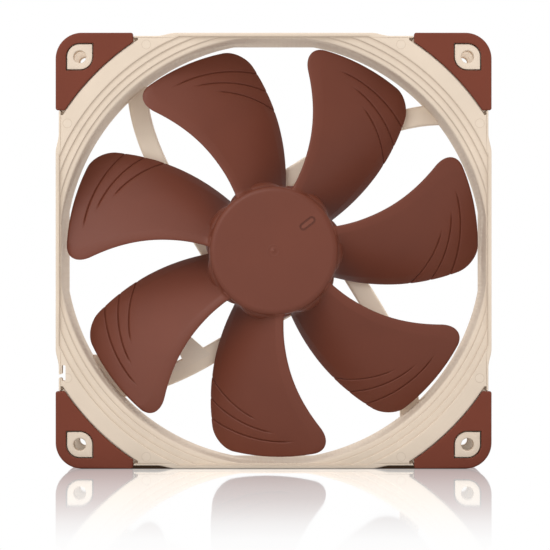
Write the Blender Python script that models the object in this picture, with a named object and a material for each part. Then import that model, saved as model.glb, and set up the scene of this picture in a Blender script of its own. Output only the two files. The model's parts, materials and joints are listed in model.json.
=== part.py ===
"""A 140 mm case fan that stands on its bottom edge.

X points right, Z up and Y from the intake side to the exhaust side. The origin lies on the
rotor's axis, halfway through the depth. An outline is a list of (x, z) points and a turned
profile is a list of (radius, y) points, both in metres.
"""

import math

import bmesh
import bpy
from mathutils import Matrix, Vector

MM = 0.001
GAP = 0.3 * MM

# Casing
HALF_SIDE = 70.0 * MM
HALF_DEPTH = 12.5 * MM
CASING_HALF_DEPTH = 12.1 * MM
SIDE_RECESS = 1.0 * MM
RAMP_START = 31.5 * MM
RAMP_END = 37.5 * MM
CORNER_RADIUS = 8.4 * MM
FLANGE_INNER = 7.8 * MM
POCKET_START = 34.0 * MM
POCKET_RADIUS = 71.8 * MM
OUTSIDE = 80.0 * MM
BEYOND = 14.0 * MM

# Air tunnel: rings of (y, radius, half width between the flats)
TUNNEL = (
    (-BEYOND, 69.5 * MM, 68.6 * MM),
    (-9.0 * MM, 69.1 * MM, 68.3 * MM),
    (BEYOND, 68.8 * MM, 67.5 * MM),
)
# Stepped inlet: (radius, half width between the flats, y of the step's floor)
TERRACES = (
    (75.5 * MM, 68.90 * MM, -11.4 * MM),
    (73.1 * MM, 68.82 * MM, -10.7 * MM),
    (70.7 * MM, 68.74 * MM, -10.0 * MM),
)

# Corner screws and their bosses
HOLE_CENTRE = 62.25 * MM
HOLE_RADIUS = 2.15 * MM
HOLE_CHAMFER = 0.4 * MM
BOSS_HALF = 4.05 * MM

# Corner pads
PAD_ARC = 80.5 * MM
PAD_END = 45.1 * MM
PAD_THICKNESS = 1.2 * MM
PAD_SKIRT = 1.0 * MM
PAD_BED_END = 43.6 * MM

# Cable clip in the left side and the groove that leads to it
CLIP_SLOT = (-67.6 * MM, -41.9 * MM, -66.5 * MM, -36.8 * MM)
CLIP_MOUTH = (-OUTSIDE, -41.0 * MM, -67.0 * MM, -39.6 * MM)
CLIP_REAR_NOTCH = (-OUTSIDE, -43.2 * MM, -67.8 * MM, -37.2 * MM)
CABLE_GROOVE = (-67.2 * MM, -41.4 * MM, -52.0 * MM, -38.0 * MM)
GROOVE_FLOOR = 9.8 * MM

# Motor base and struts
BASE_RADIUS = 21.3 * MM
BASE_FRONT = 7.0 * MM
BASE_CAVITY_RADIUS = 19.9 * MM
BASE_CAVITY_FLOOR = 9.4 * MM
BASE_BOSS_RADIUS = 6.2 * MM
BASE_BOSS_TOP = 5.3 * MM
HOUSING_BORE = 4.5 * MM
HOUSING_BORE_FLOOR = 10.3 * MM
LABEL_BED_RADIUS = 19.6 * MM
LABEL_BED_FLOOR = 11.6 * MM
STRUT_ROOT_HALF_WIDTH = 3.05 * MM
STRUT_WALL_HALF_WIDTH = 3.35 * MM
STRUT_FRONT = 8.6 * MM
STRUT_REAR = 11.9 * MM
STRUT_CURVE = (
    (2.0 * MM, 22.4 * MM),
    (19.5 * MM, 33.0 * MM),
    (34.5 * MM, 44.6 * MM),
    (54.8 * MM, 45.1 * MM),
)
STRUT_START = -0.22
STRUT_ROOT_CUT = 20.6 * MM
GUIDE_FRONT = 9.0 * MM
GUIDE_REAR = 11.7 * MM
GUIDE_OFFSET = 10.9 * MM
GUIDE_INNER_START = 0.37
GUIDE_OUTER_START = 0.44
GUIDE_END = 1.1
WINDOW_START = 0.5
WINDOW_END = 0.72
WINDOW_INNER_OFFSET = 2.6 * MM
WINDOW_OUTER_OFFSET = 6.4 * MM

# Impeller
HUB_RADIUS = 20.8 * MM
HUB_FILLET = 1.8 * MM
HUB_FRONT = -12.1 * MM
HUB_REAR = 6.2 * MM
HUB_INNER_RADIUS = 19.3 * MM
HUB_INNER_FRONT = -10.6 * MM
HUB_BOSS_RADIUS = 4.6 * MM
HUB_BOSS_BORE = 3.3 * MM
HUB_BOSS_REAR = -7.0 * MM
BLADES = 7
BLADE_ROOT = 20.0 * MM
BLADE_TIP = 66.9 * MM
BLADE_EVEN_STEPS = 4
BLADE_TIP_STEPS = 4
BLADE_CHORD_STEPS = 8
LEADING_CORNER = 8.0 * MM
TRAILING_CORNER = 6.0 * MM

# Motor
AIR_GAP_RADIUS = 15.3 * MM
SHAFT_RADIUS = 1.5 * MM
SHAFT_FRONT = -10.2 * MM
SHAFT_REAR = 7.9 * MM
SHAFT_GROOVE = (6.4 * MM, 7.2 * MM, 1.0 * MM)
SHAFT_CHAMFER = 0.3 * MM
YOKE_BORE = 5.0 * MM
YOKE_INNER = 18.2 * MM
YOKE_OUTER = 19.0 * MM
YOKE_FRONT = -10.2 * MM
YOKE_REAR = 5.6 * MM
YOKE_WALL = 0.8 * MM
HOUSING_INNER = 3.3 * MM
HOUSING_FRONT = -6.2 * MM
HOUSING_FLOOR = 0.6 * MM
BEARING_RADIUS = 3.0 * MM
LABEL_RADIUS = 19.0 * MM
STATOR_FRONT = -4.4 * MM
STATOR_REAR = 3.6 * MM
POLES = 4
ARM_HALF_WIDTH = 2.2 * MM
INSULATOR_THICKNESS = 0.8 * MM
COIL_INNER_RADIUS = 7.9 * MM
COIL_OUTER_RADIUS = 12.2 * MM
COIL_BUILD = 1.6 * MM
BOARD_FRONT = 7.9 * MM
BOARD_REAR = 8.9 * MM

ROUND_STEPS = 48
SMALL_ROUND_STEPS = 24
HUB_STEPS = 63
SHARP_ANGLE = math.radians(35)

# name: (colour, roughness, metallic)
MATERIALS = {
    "frame": ((0.72, 0.61, 0.47), 0.55, 0.0),
    "pads": ((0.165, 0.045, 0.026), 0.75, 0.0),
    "impeller": ((0.155, 0.05, 0.034), 0.45, 0.0),
    "steel": ((0.56, 0.57, 0.58), 0.35, 1.0),
    "magnet": ((0.09, 0.085, 0.08), 0.7, 0.0),
    "brass": ((0.72, 0.52, 0.22), 0.3, 1.0),
    "bearing": ((0.45, 0.33, 0.2), 0.5, 1.0),
    "insulator": ((0.75, 0.74, 0.7), 0.6, 0.0),
    "copper": ((0.6, 0.26, 0.12), 0.35, 1.0),
    "board": ((0.03, 0.16, 0.07), 0.45, 0.0),
    "chip": ((0.02, 0.02, 0.022), 0.5, 0.0),
    "label": ((0.62, 0.6, 0.56), 0.4, 0.0),
    "seal": ((0.05, 0.05, 0.05), 0.7, 0.0),
}


# ---------------------------------------------------------------- tools


def clear_scene():
    for obj in list(bpy.data.objects):
        bpy.data.objects.remove(obj, do_unlink=True)


def material(name):
    found = bpy.data.materials.get(name)
    if found:
        return found
    colour, roughness, metallic = MATERIALS[name]
    made = bpy.data.materials.new(name)
    made.use_nodes = True
    shader = made.node_tree.nodes["Principled BSDF"]
    shader.inputs["Base Color"].default_value = (*colour, 1.0)
    shader.inputs["Roughness"].default_value = roughness
    shader.inputs["Metallic"].default_value = metallic
    made.diffuse_color = (*colour, 1.0)
    return made


def shade(mesh):
    mesh.shade_smooth()
    mesh.set_sharp_from_angle(angle=SHARP_ANGLE)


def add_object(name, bm):
    bmesh.ops.recalc_face_normals(bm, faces=bm.faces)
    if bm.calc_volume(signed=True) < 0.0:
        bmesh.ops.reverse_faces(bm, faces=bm.faces)
    mesh = bpy.data.meshes.new(name)
    bm.to_mesh(mesh)
    bm.free()
    shade(mesh)
    obj = bpy.data.objects.new(name, mesh)
    bpy.context.scene.collection.objects.link(obj)
    return obj


def loft(name, rings, ends="flat"):
    """A solid through rings of equal count.

    Its ends are flat faces, or strips of quads across a curved end, or joined to each other.
    """
    bm = bmesh.new()
    loops = [[bm.verts.new(point) for point in ring] for ring in rings]
    count = len(loops[0])
    pairs = list(zip(loops, loops[1:]))
    if ends == "joined":
        pairs.append((loops[-1], loops[0]))
    elif ends == "flat":
        bm.faces.new(loops[0])
        bm.faces.new(list(reversed(loops[-1])))
    else:
        for end in (loops[0], loops[-1]):
            for i in range(count // 2 - 1):
                bm.faces.new((end[i], end[i + 1], end[-2 - i], end[-1 - i]))
    for low, high in pairs:
        for i in range(count):
            j = (i + 1) % count
            bm.faces.new((low[i], low[j], high[j], high[i]))
    return add_object(name, bm)


def at_depth(outline, y):
    return [Vector((x, y, z)) for x, z in outline]


def prism(name, outline, front, rear):
    return loft(name, [at_depth(outline, front), at_depth(outline, rear)])


def turned(name, profile, steps=ROUND_STEPS, closed=False):
    """A solid turned about the Y axis. A profile that isn't closed starts and ends on the axis."""
    bm = bmesh.new()
    points = [bm.verts.new((radius, y, 0.0)) for radius, y in profile]
    edges = [bm.edges.new(pair) for pair in zip(points, points[1:])]
    if closed:
        edges.append(bm.edges.new((points[-1], points[0])))
    bmesh.ops.spin(
        bm,
        geom=points + edges,
        cent=(0.0, 0.0, 0.0),
        axis=(0.0, 1.0, 0.0),
        angle=2.0 * math.pi,
        steps=steps,
    )
    bmesh.ops.remove_doubles(bm, verts=bm.verts, dist=0.001 * MM)
    bmesh.ops.dissolve_degenerate(bm, edges=bm.edges, dist=0.001 * MM)
    return add_object(name, bm)


def ring(name, inner, outer, front, rear, steps=SMALL_ROUND_STEPS):
    profile = ((inner, front), (outer, front), (outer, rear), (inner, rear))
    return turned(name, profile, steps, closed=True)


def box(name, size, bevel):
    bm = bmesh.new()
    bmesh.ops.create_cube(bm, size=1.0, matrix=Matrix.Diagonal((*size, 1.0)))
    bmesh.ops.bevel(
        bm, geom=bm.edges, offset=bevel, segments=2, profile=0.5, affect="EDGES"
    )
    return add_object(name, bm)


def disc(name, radius, front, rear):
    profile = ((0.0, front), (radius, front), (radius, rear), (0.0, rear))
    return turned(name, profile)


def combine(obj, other, operation):
    """Boolean that takes the other object away once its result is in the mesh."""
    modifier = obj.modifiers.new(operation, "BOOLEAN")
    modifier.operation = operation
    modifier.solver = "EXACT"
    modifier.object = other
    graph = bpy.context.evaluated_depsgraph_get()
    mesh = bpy.data.meshes.new_from_object(obj.evaluated_get(graph))
    obj.modifiers.clear()
    obj.data = mesh
    bpy.data.objects.remove(other, do_unlink=True)


def cut(obj, cutter):
    combine(obj, cutter, "DIFFERENCE")


def unite(obj, other):
    combine(obj, other, "UNION")


def arc(radius, start, end, steps, centre=(0.0, 0.0)):
    """Points along an arc, both ends included, with its angles in degrees."""
    points = []
    for i in range(steps + 1):
        angle = math.radians(start + (end - start) * i / steps)
        x = centre[0] + radius * math.cos(angle)
        z = centre[1] + radius * math.sin(angle)
        points.append((x, z))
    return points


def rotated(points, degrees):
    cosine = math.cos(math.radians(degrees))
    sine = math.sin(math.radians(degrees))
    return [(cosine * x - sine * z, sine * x + cosine * z) for x, z in points]


def four_fold(quarter):
    return [point for turn in range(4) for point in rotated(quarter, 90.0 * turn)]


def rectangle(low_x, low_z, high_x, high_z):
    return [(low_x, low_z), (high_x, low_z), (high_x, high_z), (low_x, high_z)]


def smooth_step(t):
    return t * t * (3.0 - 2.0 * t)


# ---------------------------------------------------------------- casing


def clipped_circle(radius, half_width, steps=12):
    """A circle whose four sides are cut flat."""
    start = math.degrees(math.acos(half_width / radius))
    return four_fold(arc(radius, start, 90.0 - start, steps))


def rounded_corner(half_width, radius, steps=6):
    inner = half_width - radius
    return arc(radius, 0.0, 90.0, steps, centre=(inner, inner))


def casing_outline():
    """The square outline, set back a little between the middle of each side and its corners."""
    recessed = HALF_SIDE - SIDE_RECESS
    ramp = []
    for i in range(5):
        t = i / 4
        along = RAMP_START + (RAMP_END - RAMP_START) * t
        ramp.append((HALF_SIDE - SIDE_RECESS * smooth_step(t), along))
    ramp.append((recessed, PAD_END - GAP))
    bedded = recessed - GAP
    corner = rounded_corner(bedded, CORNER_RADIUS - SIDE_RECESS - GAP)
    ramp.append((bedded, PAD_END))
    mirrored = [(z, x) for x, z in reversed(ramp)]
    return four_fold(ramp + corner + mirrored)


def corner_pocket(turn):
    """The space between the front and rear flange at one corner."""
    start = math.degrees(math.asin(POCKET_START / POCKET_RADIUS))
    wall = arc(POCKET_RADIUS, start, 90.0 - start, 10)
    outline = wall + [(POCKET_START, OUTSIDE), (OUTSIDE, OUTSIDE), (OUTSIDE, POCKET_START)]
    return prism("pocket", rotated(outline, turn), -FLANGE_INNER, FLANGE_INNER)


def pad_bed(turn, side):
    """The shallow bed that one pad lies in."""
    radius = PAD_ARC - GAP
    start = math.degrees(math.asin(PAD_BED_END / radius))
    outline = arc(radius, start, 90.0 - start, 8)
    outline += [(PAD_BED_END, OUTSIDE), (OUTSIDE, OUTSIDE), (OUTSIDE, PAD_BED_END)]
    floor = HALF_DEPTH - PAD_THICKNESS - GAP
    return prism("bed", rotated(outline, turn), side * floor, side * BEYOND)


def leaf(half):
    """A square with the two corners on the fan's diagonal rounded, around the screw hole."""
    quarter = arc(half, 0.0, 90.0, 5)
    points = quarter + [(-half, half)]
    points += [(-x, -z) for x, z in quarter] + [(half, -half)]
    return [(x + HOLE_CENTRE, z + HOLE_CENTRE) for x, z in points]


def screw_hole(turn):
    cone = HOLE_RADIUS + BEYOND - CASING_HALF_DEPTH + HOLE_CHAMFER
    chamfer_end = CASING_HALF_DEPTH - HOLE_CHAMFER
    profile = (
        (0.0, -BEYOND),
        (cone, -BEYOND),
        (HOLE_RADIUS, -chamfer_end),
        (HOLE_RADIUS, chamfer_end),
        (cone, BEYOND),
        (0.0, BEYOND),
    )
    hole = turned("hole", profile, SMALL_ROUND_STEPS)
    x, z = rotated([(HOLE_CENTRE, HOLE_CENTRE)], turn)[0]
    hole.location = (x, 0.0, z)
    return hole


def strut_points(first, last, steps, offset=0.0, side=0.0):
    """Points beside a strut's centre line, which is a cubic Bezier curve.

    They lie at the offset, plus the strut's own half width on the given side.
    """
    controls = [Vector(point) for point in STRUT_CURVE]
    points = []
    for i in range(steps + 1):
        t = first + (last - first) * i / steps
        s = 1.0 - t
        weights = (s**3, 3.0 * s * s * t, 3.0 * s * t * t, t**3)
        place = sum((w * p for w, p in zip(weights, controls)), Vector((0.0, 0.0)))
        slope = 3.0 * s * s * (controls[1] - controls[0])
        slope += 6.0 * s * t * (controls[2] - controls[1])
        slope += 3.0 * t * t * (controls[3] - controls[2])
        slope.normalize()
        half_width = STRUT_ROOT_HALF_WIDTH * s + STRUT_WALL_HALF_WIDTH * t
        out = offset + side * half_width
        points.append((place.x + slope.y * out, place.y - slope.x * out))
    return points


def strut(turn):
    """One strut. It starts behind the hub, and its inner stretch is cleared later."""
    outer = strut_points(STRUT_START, 1.0, 12, side=-1.0)
    inner = strut_points(STRUT_START, 1.0, 12, side=1.0)
    outline = outer + list(reversed(inner))
    return prism("strut", rotated(outline, turn), STRUT_FRONT, STRUT_REAR)


def cable_guide():
    """The plate beside the lower left strut that carries the cable, with a window in it."""
    outline = strut_points(GUIDE_OUTER_START, GUIDE_END, 8, offset=GUIDE_OFFSET)
    outline += reversed(strut_points(GUIDE_INNER_START, GUIDE_END, 8))
    guide = prism("guide", rotated(outline, 180.0), GUIDE_FRONT, GUIDE_REAR)
    window = strut_points(WINDOW_START, WINDOW_END, 3, offset=WINDOW_OUTER_OFFSET)
    window += reversed(strut_points(WINDOW_START, WINDOW_END, 3, offset=WINDOW_INNER_OFFSET))
    cut(guide, prism("window", rotated(window, 180.0), -BEYOND, BEYOND))
    return guide


def motor_base():
    edge = 0.5 * MM
    profile = (
        (0.0, HOUSING_BORE_FLOOR),
        (HOUSING_BORE, HOUSING_BORE_FLOOR),
        (HOUSING_BORE, BASE_BOSS_TOP),
        (BASE_BOSS_RADIUS, BASE_BOSS_TOP),
        (BASE_BOSS_RADIUS, BASE_CAVITY_FLOOR),
        (BASE_CAVITY_RADIUS, BASE_CAVITY_FLOOR),
        (BASE_CAVITY_RADIUS, BASE_FRONT),
        (BASE_RADIUS - edge, BASE_FRONT),
        (BASE_RADIUS, BASE_FRONT + edge),
        (BASE_RADIUS, CASING_HALF_DEPTH - edge),
        (BASE_RADIUS - edge, CASING_HALF_DEPTH),
        (LABEL_BED_RADIUS, CASING_HALF_DEPTH),
        (LABEL_BED_RADIUS, LABEL_BED_FLOOR),
        (0.0, LABEL_BED_FLOOR),
    )
    return turned("base", profile)


def make_frame():
    frame = prism("frame", casing_outline(), -CASING_HALF_DEPTH, CASING_HALF_DEPTH)
    for turn in (0.0, 90.0, 180.0, 270.0):
        cut(frame, corner_pocket(turn))
        for side in (-1.0, 1.0):
            cut(frame, pad_bed(turn, side))
            inside = side * (FLANGE_INNER + 1.0 * MM)
            face = side * CASING_HALF_DEPTH
            unite(frame, prism("boss", rotated(leaf(BOSS_HALF), turn), inside, face))
        cut(frame, screw_hole(turn))
    for radius, half_width, floor in TERRACES:
        cut(frame, prism("terrace", clipped_circle(radius, half_width), -BEYOND, floor))
    rings = [at_depth(clipped_circle(radius, flat), y) for y, radius, flat in TUNNEL]
    cut(frame, loft("tunnel", rings))
    cut(frame, prism("slot", rectangle(*CLIP_SLOT), -BEYOND, BEYOND))
    cut(frame, prism("mouth", rectangle(*CLIP_MOUTH), -BEYOND, BEYOND))
    cut(frame, prism("notch", rectangle(*CLIP_REAR_NOTCH), 0.0, BEYOND))
    cut(frame, prism("groove", rectangle(*CABLE_GROOVE), GROOVE_FLOOR, BEYOND))
    for turn in (0.0, 90.0, 180.0, 270.0):
        unite(frame, strut(turn))
    unite(frame, cable_guide())
    cut(frame, prism("clearing", arc(STRUT_ROOT_CUT, 0.0, 354.375, 63), 0.0, BEYOND))
    unite(frame, motor_base())
    shade(frame.data)
    return frame


def make_pad(name, turn, side):
    """A soft corner pad: a plate over the flange's face and a skirt round its edge."""
    corner = rounded_corner(HALF_SIDE, CORNER_RADIUS)
    start = math.degrees(math.asin(PAD_END / PAD_ARC))
    inner_arc = arc(PAD_ARC, 90.0 - start, start, 8)
    outline = [(HALF_SIDE, PAD_END)] + corner + [(PAD_END, HALF_SIDE)] + inner_arc
    face = side * HALF_DEPTH
    skirt_end = side * FLANGE_INNER
    pad = prism(name, rotated(outline, turn), face, skirt_end)
    hollow = HALF_SIDE - PAD_SKIRT
    bed = [(0.0, 0.0), (hollow, 0.0)]
    bed += rounded_corner(hollow, CORNER_RADIUS - PAD_SKIRT) + [(0.0, hollow)]
    underside = side * (HALF_DEPTH - PAD_THICKNESS)
    cut(pad, prism("hollow", rotated(bed, turn), underside, side * 5.0 * MM))
    opening = rotated(leaf(BOSS_HALF + GAP), turn)
    cut(pad, prism("opening", opening, side * 5.0 * MM, side * BEYOND))
    shade(pad.data)
    return pad


# ---------------------------------------------------------------- impeller


def leading_angle(radius):
    """Degrees from +X of the first blade's leading edge."""
    out = radius / MM - 29.6
    if out < 0.0:
        return 70.9 + 0.029 * out * out
    return 70.9 + 0.0142 * out * out - 0.00016 * out**3


def trailing_angle(radius):
    """Degrees from +X of the first blade's trailing edge."""
    out = radius / (1.025 * MM) - 22.2
    return 28.6 + 0.40 * out + 0.0011 * out * out


def corner_retreat(radius, corner):
    """How far a rounded tip corner sets an edge back along the arc."""
    into = radius - (BLADE_TIP - corner)
    if into <= 0.0:
        return 0.0
    return corner - math.sqrt(max(corner * corner - into * into, 0.0))


def blade_section(radius):
    """The closed outline of a blade where it meets the cylinder of this radius."""
    span = (radius - BLADE_ROOT) / (BLADE_TIP - BLADE_ROOT)
    lead = leading_angle(radius)
    trail = trailing_angle(radius)
    first = lead - math.degrees(corner_retreat(radius, LEADING_CORNER) / radius)
    last = trail + math.degrees(corner_retreat(radius, TRAILING_CORNER) / radius)
    front = -HALF_DEPTH + (2.2 + 1.3 * span) * MM
    depth = (16.2 - 1.4 * span) * MM
    camber = 0.30
    thickness = (2.1 - 0.8 * span) * MM
    upper = []
    lower = []
    for i in range(BLADE_CHORD_STEPS + 1):
        along = 0.5 - 0.5 * math.cos(math.pi * i / BLADE_CHORD_STEPS)
        degrees = first + (last - first) * along
        u = (lead - degrees) / (lead - trail)
        y = front + depth * (u - camber * u * (1.0 - u))
        rise = depth * (1.0 - camber * (1.0 - 2.0 * u))
        run = radius * math.radians(lead - trail)
        length = math.hypot(rise, run)
        edge = min(along, 1.0 - along) * 9.0
        half = 0.5 * thickness * math.sqrt(min(edge, 1.0)) * (1.15 - 0.5 * along)
        half = max(half, 0.12 * MM)
        turn = math.degrees(half * rise / length / radius)
        shift = half * run / length
        upper.append(on_cylinder(radius, degrees - turn, y - shift))
        lower.append(on_cylinder(radius, degrees + turn, y + shift))
    return upper + list(reversed(lower))


def on_cylinder(radius, degrees, y):
    angle = math.radians(degrees)
    return Vector((radius * math.cos(angle), y, radius * math.sin(angle)))


def blade_radii():
    """Stations along the blade, closer together round the tip corners."""
    straight = BLADE_TIP - LEADING_CORNER - BLADE_ROOT
    radii = [BLADE_ROOT + straight * i / BLADE_EVEN_STEPS for i in range(BLADE_EVEN_STEPS + 1)]
    for i in range(1, BLADE_TIP_STEPS + 1):
        reach = math.sin(0.5 * math.pi * i / BLADE_TIP_STEPS)
        radii.append(BLADE_TIP - LEADING_CORNER * (1.0 - reach))
    return radii


def make_impeller():
    profile = [(0.0, HUB_FRONT)]
    centre = (HUB_RADIUS - HUB_FILLET, HUB_FRONT + HUB_FILLET)
    profile += arc(HUB_FILLET, -90.0, 0.0, 5, centre=centre)
    profile += [
        (HUB_RADIUS, HUB_REAR),
        (HUB_INNER_RADIUS, HUB_REAR),
        (HUB_INNER_RADIUS, HUB_INNER_FRONT),
        (HUB_BOSS_RADIUS, HUB_INNER_FRONT),
        (HUB_BOSS_RADIUS, HUB_BOSS_REAR),
        (HUB_BOSS_BORE, HUB_BOSS_REAR),
        (HUB_BOSS_BORE, HUB_INNER_FRONT),
        (0.0, HUB_INNER_FRONT),
    ]
    impeller = turned("impeller", profile, HUB_STEPS)
    sections = [blade_section(radius) for radius in blade_radii()]
    for number in range(BLADES):
        turn = Matrix.Rotation(-2.0 * math.pi * number / BLADES, 3, "Y")
        rings = [[turn @ point for point in section] for section in sections]
        unite(impeller, loft("blade", rings, ends="strips"))
    shade(impeller.data)
    return impeller


# ---------------------------------------------------------------- motor


def make_shaft():
    """The shaft, with a groove for its clip near the rear end."""
    groove_front, groove_rear, groove_radius = SHAFT_GROOVE
    profile = (
        (0.0, SHAFT_FRONT),
        (SHAFT_RADIUS, SHAFT_FRONT),
        (SHAFT_RADIUS, groove_front),
        (groove_radius, groove_front),
        (groove_radius, groove_rear),
        (SHAFT_RADIUS, groove_rear),
        (SHAFT_RADIUS, SHAFT_REAR - SHAFT_CHAMFER),
        (SHAFT_RADIUS - SHAFT_CHAMFER, SHAFT_REAR),
        (0.0, SHAFT_REAR),
    )
    return turned("shaft", profile, SMALL_ROUND_STEPS)


def make_shaft_clip():
    """A split washer that snaps into the shaft's groove."""
    outer = arc(2.6 * MM, 20.0, 340.0, 20)
    inner = arc(1.2 * MM, 20.0, 340.0, 20)
    return prism("shaft_clip", outer + list(reversed(inner)), 6.6 * MM, 7.0 * MM)


def make_yoke():
    """The steel cup inside the hub."""
    edge = 0.5 * MM
    profile = (
        (YOKE_BORE, YOKE_FRONT),
        (YOKE_OUTER - edge, YOKE_FRONT),
        (YOKE_OUTER, YOKE_FRONT + edge),
        (YOKE_OUTER, YOKE_REAR),
        (YOKE_INNER, YOKE_REAR),
        (YOKE_INNER, YOKE_FRONT + YOKE_WALL),
        (YOKE_BORE, YOKE_FRONT + YOKE_WALL),
    )
    return turned("rotor_yoke", profile, closed=True)


def make_housing():
    """The brass cup that the bearing sits in."""
    outer = HOUSING_BORE - GAP
    rear = HOUSING_BORE_FLOOR - GAP
    profile = (
        (0.0, rear - HOUSING_FLOOR),
        (HOUSING_INNER, rear - HOUSING_FLOOR),
        (HOUSING_INNER, HOUSING_FRONT),
        (outer, HOUSING_FRONT),
        (outer, rear),
        (0.0, rear),
    )
    return turned("bearing_housing", profile)


def stator_outline():
    """Four arms that end in curved pole shoes."""
    shoe_inner = 13.6 * MM
    shoe_span = 36.0
    root = 6.6 * MM
    arm = [(root, -ARM_HALF_WIDTH), (shoe_inner, -ARM_HALF_WIDTH)]
    shoe = arc(AIR_GAP_RADIUS, -shoe_span, shoe_span, 8)
    under = arc(shoe_inner, -shoe_span, shoe_span, 1)
    other_side = [(shoe_inner, ARM_HALF_WIDTH), (root, ARM_HALF_WIDTH)]
    return four_fold(arm + under[:1] + shoe + under[1:] + other_side)


def make_stator_core():
    core = prism("stator_core", stator_outline(), STATOR_FRONT, STATOR_REAR)
    bore = arc(HOUSING_BORE, 0.0, 348.75, 31)
    cut(core, prism("bore", bore, -BEYOND, BEYOND))
    return core


def make_insulator(name, front):
    """A plastic star that keeps the windings off one face of the core."""
    half = ARM_HALF_WIDTH + 0.4 * MM
    root = 7.2 * MM
    end = 13.3 * MM
    quarter = [(root, -half), (end, -half), (end, half), (root, half)]
    rear = front + INSULATOR_THICKNESS
    star = prism(name, four_fold(quarter), front, rear)
    bore = arc(HOUSING_BORE + GAP, 0.0, 348.75, 31)
    cut(star, prism("bore", bore, -BEYOND, BEYOND))
    return star


def rounded_rectangle(half_x, half_y, radius, steps=4):
    corners = ((1, 1, 0.0), (-1, 1, 90.0), (-1, -1, 180.0), (1, -1, 270.0))
    points = []
    for side_x, side_y, start in corners:
        centre = (side_x * (half_x - radius), side_y * (half_y - radius))
        points += arc(radius, start, start + 90.0, steps, centre)
    return points


def make_coil(number):
    """One winding: a rounded loop round its arm."""
    clearance = GAP + INSULATOR_THICKNESS + GAP
    middle = 0.5 * (STATOR_FRONT + STATOR_REAR)
    half_y = 0.5 * (STATOR_REAR - STATOR_FRONT) + clearance
    half_z = ARM_HALF_WIDTH + 0.7 * MM
    inner = rounded_rectangle(half_z, half_y, 0.4 * MM)
    outer = rounded_rectangle(half_z + COIL_BUILD, half_y + COIL_BUILD, 1.6 * MM)
    rings = []
    for radius, loop in (
        (COIL_INNER_RADIUS, outer),
        (COIL_OUTER_RADIUS, outer),
        (COIL_OUTER_RADIUS, inner),
        (COIL_INNER_RADIUS, inner),
    ):
        rings.append([Vector((radius, middle + y, z)) for z, y in loop])
    coil = loft(f"coil_{number + 1}", rings, ends="joined")
    coil.rotation_euler = (0.0, -2.0 * math.pi * number / POLES, 0.0)
    return coil


def make_board():
    """The round circuit board, with a notch for the cable."""
    board_radius = 19.5 * MM
    outline = arc(board_radius, 232.0, 208.0 + 360.0, 48)
    outline += arc(16.5 * MM, 208.0, 232.0, 3)
    board = prism("circuit_board", outline, BOARD_FRONT, BOARD_REAR)
    bore = arc(BASE_BOSS_RADIUS + 0.4 * MM, 0.0, 348.75, 31)
    cut(board, prism("bore", bore, 0.0, BEYOND))
    return board


def make_component(name, size, degrees, radius):
    """A part that stands on the board's front face, turned to face the axis."""
    rear = BOARD_FRONT - GAP
    part = box(name, size, 0.15 * MM)
    centre = on_cylinder(radius, degrees, rear - 0.5 * size[1])
    part.location = centre
    part.rotation_euler = (0.0, -math.radians(degrees), 0.0)
    return part


# ---------------------------------------------------------------- assembly


CORNERS = {
    "top_right": 0.0,
    "top_left": 90.0,
    "bottom_left": 180.0,
    "bottom_right": 270.0,
}


def empty(name):
    made = bpy.data.objects.new(name, None)
    made.empty_display_size = 10.0 * MM
    bpy.context.scene.collection.objects.link(made)
    return made


def place(obj, parent, look):
    obj.data.materials.clear()
    obj.data.materials.append(material(look))
    obj.parent = parent
    return obj


def make_fixed_parts(body):
    place(make_frame(), body, "frame")
    for corner, turn in CORNERS.items():
        place(make_pad(f"front_pad_{corner}", turn, -1.0), body, "pads")
        place(make_pad(f"rear_pad_{corner}", turn, 1.0), body, "pads")
    place(make_housing(), body, "brass")
    sleeve_bore = SHAFT_RADIUS + 0.06 * MM
    sleeve = ring("bearing_sleeve", sleeve_bore, BEARING_RADIUS, -5.2 * MM, 6.1 * MM)
    place(sleeve, body, "bearing")
    seal = ring("seal_ring", 1.9 * MM, BEARING_RADIUS, -6.1 * MM, -5.5 * MM)
    place(seal, body, "seal")
    place(disc("wear_disc", BEARING_RADIUS, 8.2 * MM, 8.5 * MM), body, "insulator")
    holder = ring("stabiliser_magnet", 1.0 * MM, BEARING_RADIUS, 8.8 * MM, 9.1 * MM)
    place(holder, body, "magnet")
    place(make_stator_core(), body, "steel")
    front_star = STATOR_FRONT - GAP - INSULATOR_THICKNESS
    place(make_insulator("front_insulator", front_star), body, "insulator")
    place(make_insulator("rear_insulator", STATOR_REAR + GAP), body, "insulator")
    for number in range(POLES):
        place(make_coil(number), body, "copper")
    place(make_board(), body, "board")
    chip = (4.2 * MM, 1.3 * MM, 5.0 * MM)
    sensor = (1.5 * MM, 2.8 * MM, 3.0 * MM)
    capacitor = (1.6 * MM, 0.9 * MM, 0.9 * MM)
    place(make_component("driver_chip", chip, 45.0, 13.2 * MM), body, "chip")
    place(make_component("hall_sensor", sensor, 135.0, 13.8 * MM), body, "chip")
    place(make_component("capacitor_1", capacitor, 315.0, 12.0 * MM), body, "insulator")
    place(make_component("capacitor_2", capacitor, 315.0, 15.0 * MM), body, "insulator")
    label_front = LABEL_BED_FLOOR + GAP
    label = disc("hub_label", LABEL_RADIUS, label_front, CASING_HALF_DEPTH)
    place(label, body, "label")


def make_turning_parts(body):
    place(make_impeller(), body, "impeller")
    place(make_yoke(), body, "steel")
    magnet = ring("rotor_magnet", 16.0 * MM, 17.9 * MM, -5.0 * MM, 5.2 * MM, ROUND_STEPS)
    place(magnet, body, "magnet")
    boss = ring("shaft_boss", SHAFT_RADIUS + GAP, BEARING_RADIUS, -10.3 * MM, -6.8 * MM)
    place(boss, body, "brass")
    place(make_shaft(), body, "steel")
    place(make_shaft_clip(), body, "steel")


def main():
    clear_scene()
    make_fixed_parts(empty("casing"))
    make_turning_parts(empty("rotor_axis"))


main()
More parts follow.
